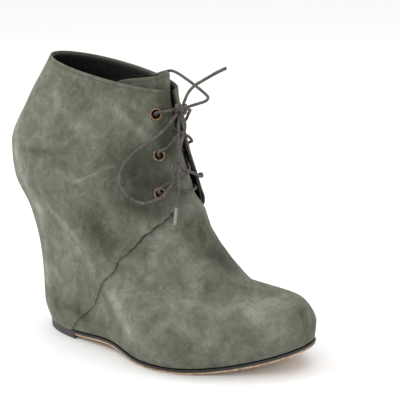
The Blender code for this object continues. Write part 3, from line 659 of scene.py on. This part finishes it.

# Upper
# Listed strokes on the suede, nap patches, painted highlights and painted shade: from x, y, z to x, y, z on
# the suede, half width, strength
STROKES = np.array((
    (-6, -12, 156, -2, -25, 130, 5.3, +0.16),       # painted highlight on the back edge of the shaft
    (-2, -25, 127, 18, -29, 94, 6.0, +0.20),        # painted highlight below the heel's bulge
    (20, -30, 94, 21, -25, 38, 4.7, +0.14),         # painted highlight down the back of the wedge
    (32, -34, 94, 63, -36, 73, 2.7, +0.18),         # light line over the wedge's top
    (42, -34, 79, 71, -37, 58, 2.7, +0.12),         # and a second one under it
    (40, -32, 65, 58, -36, 51, 11.0, +0.10),        # light middle of the wedge
    (34, -32, 26, 53, -36, 26, 6.0, -0.20),         # dark foot of the wedge
    (59, -37, 20, 82, -41, 21, 6.0, -0.15),         # dark foot under the seam
    (100, -25, 130, 106, -26, 118, 14.7, -0.40),    # painted shade inside the near loop, by the laces
    (110, -10, 168, 114, -13, 139, 6.0, -0.28),     # painted shade along the throat
    (90, -33, 105, 118, -22, 99, 6.0, -0.20),       # dark above the seam
    (68, -36, 90, 80, -36, 79, 10.0, -0.26),        # dark patch low on the quarter
    (44, -35, 130, 81, -30, 133, 9.3, -0.06),       # middle of the quarter
    (5, -28, 132, 33, -34, 134, 2.7, -0.15),        # dark band at the heel's bulge
    (83, -25, 166, 103, -20, 147, 2.7, +0.15),      # light slanting strokes on the shaft
    (35, -27, 175, 41, -29, 166, 3.3, +0.15),
    (50, -31, 156, 62, -31, 151, 4.0, +0.12),
    (57, -37, 116, 85, -30, 129, 0.9, +0.16),       # long fine scratch
    (43, -37, 123, 52, -37, 118, 2.0, +0.12),
    (110, -9, 184, 111, -7, 174, 4.0, -0.15),       # painted shade on the tongue by its front fold
    (86, -24, 188, 92, -22, 175, 4.0, -0.06),
    (119, -24, 85, 113, -32, 68, 5.3, +0.18),       # light under the seam's top
    (108, -32, 74, 112, -36, 60, 1.7, -0.14),       # fine dark crease
    (84, -40, 50, 107, -51, 26, 5.6, +0.18),        # brushed pale side of the vamp
    (107, -51, 26, 122, -54, 16, 5.3, +0.10),
    (131, -12, 91, 153, 9, 63, 6.0, -0.26),         # dark instep
    (148, -3, 70, 150, -1, 68, 2.7, -0.18),
    (128, -22, 76, 133, -23, 69, 6.0, +0.10),
    (182, -8, 43, 202, -14, 28, 7.6, +0.17),        # pale toe
    (169, -13, 46, 179, -11, 43, 4.7, +0.08),
    (203, 10, 43, 211, 3, 26, 4.7, -0.15),          # darker end of the toe
    (148, -22, 55, 151, -28, 47, 4.0, -0.08),
    (122, -53, 33, 131, -50, 40, 4.0, -0.10),
    (145, -48, 33, 160, -42, 29, 5.3, +0.08),
    (117, -39, 52, 175, -31, 36, 16.7, +0.05),
    # inner side
    (20, 30, 170, 60, 33, 150, 9.0, -0.12),
    (40, 33, 185, 80, 28, 172, 5.0, +0.12),
    (10, 30, 130, 40, 34, 120, 8.0, +0.10),
    (60, 35, 110, 95, 28, 130, 12.0, -0.16),
    (25, 30, 90, 25, 27, 40, 7.0, +0.12),
    (50, 34, 70, 80, 34, 50, 9.0, -0.12),
    (100, 36, 60, 130, 34, 40, 9.0, +0.10),
    (150, 40, 35, 185, 36, 30, 8.0, -0.08),
))
SIDE_LEAN = 0.35               # share of the sideways distance that a stroke counts


def nap_and_painted_light(points):
    """Middle tone 0.5 plus each stroke's strength times a Gaussian of the distance to it, in which
    the sideways distance counts less, cut off towards the boot's other side. The strokes are nap
    patches, painted highlights and painted shade."""
    scale = np.array((1, SIDE_LEAN, 1))
    flat = (points * scale)[..., None, :]
    start, end = STROKES[:, 0:3] * scale, STROKES[:, 3:6] * scale
    way = end - start
    share = np.clip(((flat - start) * way).sum(-1) / np.maximum((way**2).sum(-1), 1e-9), 0, 1)
    gap = np.linalg.norm(flat - start - share[..., None] * way, axis=-1)
    aside = np.abs(points[..., 1:2] - (STROKES[:, 1] + STROKES[:, 4]) / 2)
    return 0.5 + (np.exp(-(gap / STROKES[:, 6]) ** 2) * STROKES[:, 7] * (1 - ease(10, 28, aside))).sum(-1)


# Line of the wedge's top edge under the suede, x and z, and the instep's creases: z, width, depth
RIDGE = ((-5, 3, 29, 55, 77, 107, 125), (122, 115.6, 101.4, 82.4, 50.2, 27.4, 20))
INSTEP_CREASES = ((84.0, 3.5, -0.30), (74.0, 4.0, -0.35), (64.0, 3.5, -0.25))


def relief(turn, points):
    """Low relief of the suede in millimetres: a soft ridge where the wedge's top edge lies under it,
    and shallow creases over the bend of the instep, each a Gaussian across its line."""
    x, z = points[..., 0], points[..., 2]
    gap = z - curve(np.clip(x, RIDGE[0][0], RIDGE[0][-1]), *RIDGE)
    ridge = 0.35 * np.exp(-(gap / 2.6) ** 2) * ease(-12, 5, x) * (1 - ease(95, 115, x))
    front = np.exp(-(np.minimum(np.abs(turn), 2 * pi - turn) / 1.1) ** 2)
    bend = sum(depth * np.exp(-((z - height) / width) ** 2) for height, width, depth in INSTEP_CREASES)
    return ridge + bend * front * ease(100, 118, x)


def seam_gap(turn, rise):
    """Distance in millimetres round the section from the quarters' front edge, positive on the quarters."""
    own = np.where(turn > pi, 2 * pi - turn, np.abs(turn))
    near = (turn > pi) | (turn < 0)
    edge = np.where(near, curve(rise, EDGE[:, 0], EDGE[:, 1]), curve(rise, EDGE[:, 0], EDGE[:, 2]))
    side = np.where(near, -1, 1)
    across = np.linalg.norm(skin(side * (edge + 0.02), rise) - skin(side * (edge - 0.02), rise),
                            axis=-1) / 0.04
    return (own - edge) * across


def seam_shadow_and_highlight(turn, rise):
    """Painted shadow, with some dirt, on the vamp along the seam, deepest under the free corner, and a
    painted highlight along the quarters' turned edge: Gaussians of the distance to the edge."""
    gap = seam_gap(turn, rise)
    deep = 0.16 + 0.30 * ease(0.38, 0.43, rise)
    # painted shadow on the vamp under the quarters' edge
    dark = -deep * np.exp(-(np.minimum(gap + 0.2, 0) / 1.5) ** 2) * (gap < 1.5)
    # painted highlight on the quarters' turned edge
    edge_highlight = 0.16 * np.exp(-((gap - 0.5) / 0.6) ** 2)
    return np.where(gap < 0, dark, edge_highlight) * (1 - ease(0.50, 0.52, rise))


def below_edge(turn, rise, top):
    """Distance in millimetres from a point up to the edge at rise top, along the skin."""
    step = np.linalg.norm(skin(turn, top) - skin(turn, top - 0.02), axis=-1) / 0.02
    return (top - rise) * step


def groove(distance):
    """The stitches pull the suede down by a Gaussian 0.9 mm wide on both sides of their row."""
    return -0.22 * np.exp(-((distance - STITCH_INSET) / 0.9) ** 2)


def quarters_grid(rows, cols):
    """Turn and rise of the quarters, from the far front edge round the back to the near one."""
    rise = np.linspace(0, 1, rows)[:, None]
    near = 2 * pi - curve(rise, EDGE[:, 0], EDGE[:, 1])
    far = curve(rise, EDGE[:, 0], EDGE[:, 2])
    s = np.linspace(0, 1, cols)[None, :]
    return far + (near - far) * s, np.broadcast_to(rise, (rows, cols))


def tongue_top(u):
    """Rise of the tongue's top edge: the collar's, plus a peak of (1 - |u|) to the power 0.8."""
    return 1.0 + TONGUE_PEAK * (1 - np.abs(u)) ** 0.8


def vamp_grid(rows, cols):
    """Turn and rise of the vamp, which runs on under the quarters and up into the tongue."""
    w, u = np.linspace(0, 1, rows)[:, None], np.linspace(-1, 1, cols)[None, :]
    top = tongue_top(u)
    rise = np.where(w < VAMP_SHARE, VAMP_TOP * w / VAMP_SHARE,
                    VAMP_TOP + (top - VAMP_TOP) * (w - VAMP_SHARE) / (1 - VAMP_SHARE))
    tongue = 0.72 + 0.40 * ease(0, 1, (rise - TONGUE_FOOT) / (top - TONGUE_FOOT))
    near = np.maximum(curve(rise, EDGE[:, 0], EDGE[:, 1]) + 0.16, tongue)
    far = np.maximum(curve(rise, EDGE[:, 0], EDGE[:, 2]) + 0.16, tongue)
    return np.where(u < 0, near, far) * u, rise


def vamp_depth(rise):
    """On the vamp's face low down, sinking under the quarters to the tongue's depth."""
    return VAMP_FACE + (TONGUE_DEPTH - VAMP_FACE) * ease(0.485, 0.565, rise)


def edge_lift(turn, rise):
    """How far the quarters' free corner stands off the vamp, at the top of the seam."""
    near = np.abs(np.where(turn > pi, 2 * pi - turn, turn) - curve(rise, EDGE[:, 0], EDGE[:, 1]))
    return 1.5 * ease(0.40, 0.49, rise) * (1 - ease(0.52, 0.58, rise)) * (1 - ease(0, 0.22, near))


def make_upper():
    """Quarters, and vamp with tongue, as suede sheets over lining, with holes for the eyelets."""
    turn, rise = quarters_grid(*QUARTER_GRID)
    base = skin(turn, rise)
    bend = relief(turn, base) + edge_lift(turn, rise) + groove(below_edge(turn, rise, 1.0))
    # nap attribute: listed nap patches, painted highlights and painted shade, plus the seam's painted
    # shadow and painted highlight
    quarters = shell("quarters", lifted(turn, rise, QUARTER_FACE + bend), lifted(turn, rise, bend - 0.35),
                     SUEDE, 0.45, nap_and_painted_light(base) + seam_shadow_and_highlight(turn, rise))
    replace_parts(quarters, "upper")
    lining_turn, lining_rise = quarters_grid(*LINING_GRID)
    lining_rise = lining_rise * 0.995
    lining = shell("quarter_lining", lifted(lining_turn, lining_rise, np.full(lining_turn.shape, -0.5)),
                   lifted(lining_turn, lining_rise, np.full(lining_turn.shape, INNER_FACE)), LINING,
                   0.3)
    turn, rise = vamp_grid(*VAMP_GRID)
    base = skin(turn, rise)
    depth = vamp_depth(rise)
    edge = np.linalg.norm(base[-1:] - base, axis=-1)
    outer = lifted(turn, rise, depth + relief(turn, base) + groove(edge))
    # nap attribute: listed nap patches, painted highlights and painted shade, plus the seam's painted
    # shadow and painted highlight
    vamp = shell("vamp_and_tongue", outer, lifted(turn, rise, depth - 0.75), SUEDE, 0.35,
                 nap_and_painted_light(outer) + seam_shadow_and_highlight(turn, rise))
    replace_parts(vamp, "upper", "tongue")
    high = slice(int(VAMP_GRID[0] * VAMP_SHARE), None)
    shell("tongue_lining", lifted(turn[high], rise[high] * 0.998, depth[high] - 0.8),
          lifted(turn[high], rise[high] * 0.998, depth[high] - 1.5), LINING, 0.2)
    cut_eyelet_holes((quarters, lining))


def cut_eyelet_holes(pieces):
    """Cuts a round hole through each piece at every eyelet."""
    start, points, quads = 0, [], []
    for side in (-1, 1):
        for row in range(len(EYELETS)):
            reach = np.linspace(eyelet_point(side, row, -6.0), eyelet_point(side, row, 5.0), 4)
            rings, _ = tube_grid(reach, EYELET_HOLE + 0.4, HOLE_SIDES)
            points.append(rings.reshape(-1, 3))
            quads.append(grid_quads(len(rings), HOLE_SIDES, closed=True, start=start))
            start += len(points[-1])
    tool = to_mesh("hole_tool", np.concatenate(points), np.concatenate(quads), SUEDE)
    for piece in pieces:
        cut = piece.modifiers.new("holes", "BOOLEAN")
        cut.operation, cut.solver, cut.object = "DIFFERENCE", "EXACT", tool
    graph = bpy.context.evaluated_depsgraph_get()
    for piece in pieces:
        done = bpy.data.meshes.new_from_object(piece.evaluated_get(graph))
        piece.modifiers.clear()
        piece.data = done
    bpy.data.objects.remove(tool, do_unlink=True)


def stitches(name, rows):
    """Short threads end to end along rows of (points, normals): each is six-sided, with rings of
    radius 0.2, 1, 1.1, 1 and 0.2 times the thread's."""
    along = np.array((-0.5, -0.4, 0.0, 0.4, 0.5)) * STITCH_PITCH * 0.72
    radii = np.array((0.2, 1, 1.1, 1, 0.2)) * THREAD_RADIUS
    angle = np.linspace(0, 2 * pi, 6, endpoint=False)
    points, quads, start = [], [], 0
    for line, normal in rows:
        run = np.concatenate(([0], np.cumsum(np.linalg.norm(np.diff(line, axis=0), axis=1))))
        at = np.arange(STITCH_PITCH / 2, run[-1], STITCH_PITCH)
        centre = np.stack([np.interp(at, run, line[:, k]) for k in range(3)], -1)
        up = np.stack([np.interp(at, run, normal[:, k]) for k in range(3)], -1)
        up /= np.linalg.norm(up, axis=1, keepdims=True)
        way = np.stack([np.interp(at + 0.3, run, line[:, k]) - np.interp(at - 0.3, run,
                                                                         line[:, k]) for k in range(3)],
                                                                         -1)
        way /= np.linalg.norm(way, axis=1, keepdims=True)
        side = np.cross(way, up)
        sink = np.array((-0.25, -0.05, 0.0, -0.05, -0.25))
        rings = (centre[:, None, None] + (along[:, None, None] * way[:, None, None])
                 + sink[:, None, None] * up[:, None, None]
                 + radii[:, None, None] * (np.cos(angle)[:, None] * side[:, None, None]
                                           + np.sin(angle)[:, None] * up[:, None, None]))
        base = grid_quads(5, 6, closed=True)
        quads.append((start + np.arange(len(at))[:, None, None] * 30 + base).reshape(-1, 4))
        points.append(rings.reshape(-1, 3))
        start += rings.size // 3
    return to_mesh(name, np.concatenate(points), np.concatenate(quads)[:, ::-1], THREAD)


def make_stitches():
    """Rows under the collar, under the tongue's top edge and along the seam."""
    turn = np.linspace(float(EDGE[-2, 2]) + 0.05, 2 * pi - float(EDGE[-2, 1]) - 0.05, 700)
    rise = 1 - STITCH_INSET / (np.linalg.norm(skin(turn, 1.0) - skin(turn, 0.98), axis=-1) / 0.02)
    collar = (lifted(turn, rise, np.full(turn.shape, QUARTER_FACE - 0.12)), outward(turn, rise))
    grid_turn, grid_rise = vamp_grid(*VAMP_GRID)
    turn, top = grid_turn[-1, 2:-2], grid_rise[-1, 2:-2]
    rise = top - STITCH_INSET / (np.linalg.norm(skin(turn, top) - skin(turn, top - 0.02), axis=-1) / 0.02)
    tongue = (lifted(turn, rise, np.full(turn.shape, TONGUE_DEPTH - 0.12)), outward(turn, rise))
    rows = [collar, tongue]
    rise = np.linspace(0.01, 0.46, 400)
    for column, side in ((1, -1), (2, 1)):
        edge = curve(rise, EDGE[:, 0], EDGE[:, column])
        across = np.linalg.norm(skin(edge + 0.02, rise) - skin(edge, rise), axis=-1) / 0.02
        turn = side * (edge + SEAM_INSET / across)
        rows.append((lifted(turn, rise, QUARTER_FACE + edge_lift(turn, rise) - 0.08),
                     outward(turn, rise)))
    stitches("stitching", rows)


def make_eyelets():
    """Each ring is a turned profile: rolled rim outside and a barrel through the wall."""
    profile = np.array(((2.45, -3.0), (2.45, -0.1), (2.55, 0.3), (2.85, 0.62), (3.25, 0.82), (3.6, 0.88),
                        (3.9, 0.76),
                        (4.12, 0.5), (4.2, 0.25), (4.1, 0.1), (3.7, 0.05), (2.75, 0.05), (2.75, -3.0)))
    angle = np.linspace(0, 2 * pi, 48, endpoint=False)
    for side, word in ((-1, "near"), (1, "far")):
        for row in range(3):
            centre = eyelet_point(side, row, QUARTER_FACE)
            axis = outward(np.array(side * EYELETS[row][0]), np.array(EYELETS[row][1]))
            a = np.cross(axis, (0, 0, 1.0))
            a /= np.linalg.norm(a)
            b = np.cross(axis, a)
            rings = (centre + profile[:, None, 1:] * axis + profile[:, None, :1]
                     * (np.cos(angle)[None, :, None] * a + np.sin(angle)[None, :, None] * b))
            quads = grid_quads(len(profile) + 1, 48, closed=True) % (len(profile) * 48)
            ring = to_mesh(f"eyelet_ring_{word}_{row + 1}", rings.reshape(-1, 3), quads, BRASS,
                           sharp=50)
            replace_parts(ring, f"eyelet_{word}_{row + 1}")


make_upper()
make_stitches()
make_eyelets()

# Sole and heel piece

def turn_at(x):
    """Turn of the lower edge's point at x, on the inner side."""
    turns = np.linspace(0, pi, 4001)
    return float(turns[int(np.argmin(np.abs(skin(turns, 0.0)[:, 0] - x)))])


def slab(name, turns, layers, look, sharp=35):
    """Rings of the lower outline, one per (spread, height of x), closed top and bottom by strips
    between the two sides."""
    count = len(turns)
    rings = []
    for spread, height in layers:
        ring = lifted(turns, np.zeros(count), np.full(count, spread))
        ring[:, 2] = height(ring[:, 0])
        rings.append(ring)
    # a cap is a ladder of points between mirrored outline points
    half = count // 2
    across = np.linspace(0, 1, 9)
    points = np.concatenate(rings)
    quads = [grid_quads(len(rings), count, closed=True)]
    start = len(points)
    extra = []
    for k, flip in ((0, False), (len(rings) - 1, True)):
        ring = rings[k]
        left, right = ring[:half], ring[::-1][:half]
        ladder = left[:, None] + (right - left)[:, None] * across[None, :, None]
        ladder[..., 2] = layers[k][1](ladder[..., 0])
        numbers = start + np.arange(half * 9).reshape(half, 9)
        numbers[:, 0] = k * count + np.arange(half)
        numbers[:, -1] = k * count + count - 1 - np.arange(half)
        quad = np.stack((numbers[:-1, :-1], numbers[:-1, 1:], numbers[1:, 1:], numbers[1:, :-1]),
                        -1).reshape(-1, 4)
        quads.append(quad[:, ::-1] if flip else quad)
        extra.append(ladder.reshape(-1, 3))
        start += half * 9
    return to_mesh(name, np.concatenate((points, *extra)), np.concatenate(quads), look,
                   sharp=sharp)


def over_sole(height):
    """A slab's layer that keeps this height over the sole's underside."""
    return lambda x: sole_under(x) + height


def level(height):
    """A slab's layer at one height."""
    return lambda x: np.full_like(x, height)


def make_sole():
    """Tan sole leather with a black inked edge above it, and a rubber piece under the heel."""
    breast = turn_at(BREAST_X + GAP)
    turns = np.linspace(-breast, breast, 240)
    ink = slab("sole_edge_ink", turns, ((0.3, over_sole(SOLE_THICK)), (0.35, over_sole(3.0)),
                                        (0.3, over_sole(1.7)), (-0.2, over_sole(1.6))),
               SOLE_INK)
    tan = slab("sole_leather_tan", turns, ((-0.1, over_sole(1.6)), (0.1, over_sole(1.2)),
                                           (0.0, over_sole(0.5)), (-0.5, over_sole(0.0))),
               SOLE_TAN)
    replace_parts(ink, "outsole")
    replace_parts(tan, "outsole")
    heel = turn_at(BREAST_X)
    turns = np.linspace(heel, 2 * pi - heel, 120)
    cap = slab("heel_piece", turns, ((0.1, level(CAP_THICK)), (0.4, level(CAP_THICK - 0.3)),
                                     (0.4, level(0.5)), (0.0, level(0.0))),
               RUBBER)
    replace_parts(cap, "heel_cap")


make_sole()

for name, look in (("insole", LINING), ("wedge", SOLE_TAN)):
    cad_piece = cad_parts[name]
    cad_piece.data.materials.clear()
    cad_piece.data.materials.append(look)

# Floor and light

def make_studio():
    """White floor and surroundings, a soft lamp high behind the heel on the outer side, and one above."""
    mesh = bpy.data.meshes.new("floor")
    mesh.from_pydata([(-6, -6, 0), (6, -6, 0), (6, 6, 0), (-6, 6, 0)], [], [(0, 1, 2, 3)])
    floor = bpy.data.objects.new("floor", mesh)
    bpy.context.scene.collection.objects.link(floor)
    paint = bpy.data.materials.new("floor_white")
    paint.use_nodes = True
    shader = paint.node_tree.nodes["Principled BSDF"]
    shader.inputs["Base Color"].default_value = (0.95, 0.95, 0.95, 1)
    shader.inputs["Roughness"].default_value = 0.7
    mesh.materials.append(paint)
    world = bpy.context.scene.world or bpy.data.worlds.new("world")
    bpy.context.scene.world = world
    world.use_nodes = True
    backdrop = world.node_tree.nodes["Background"]
    backdrop.inputs["Color"].default_value = (1, 1, 1, 1)
    backdrop.inputs["Strength"].default_value = 1.0
    for name, spot, size, power in (("key", (-1.0, -0.5, 1.1), 1.0, 9), ("top", (0.1, 0.2, 1.6), 1.4, 6)):
        data = bpy.data.lights.new(name, "AREA")
        data.size, data.energy = size, power
        lamp = bpy.data.objects.new(name, data)
        lamp.location = spot
        lamp.rotation_euler = (Vector((0, 0, 0.08)) - Vector(spot)).to_track_quat("-Z", "Y").to_euler()
        bpy.context.scene.collection.objects.link(lamp)
    bpy.context.scene.view_settings.view_transform = "Standard"


make_studio()
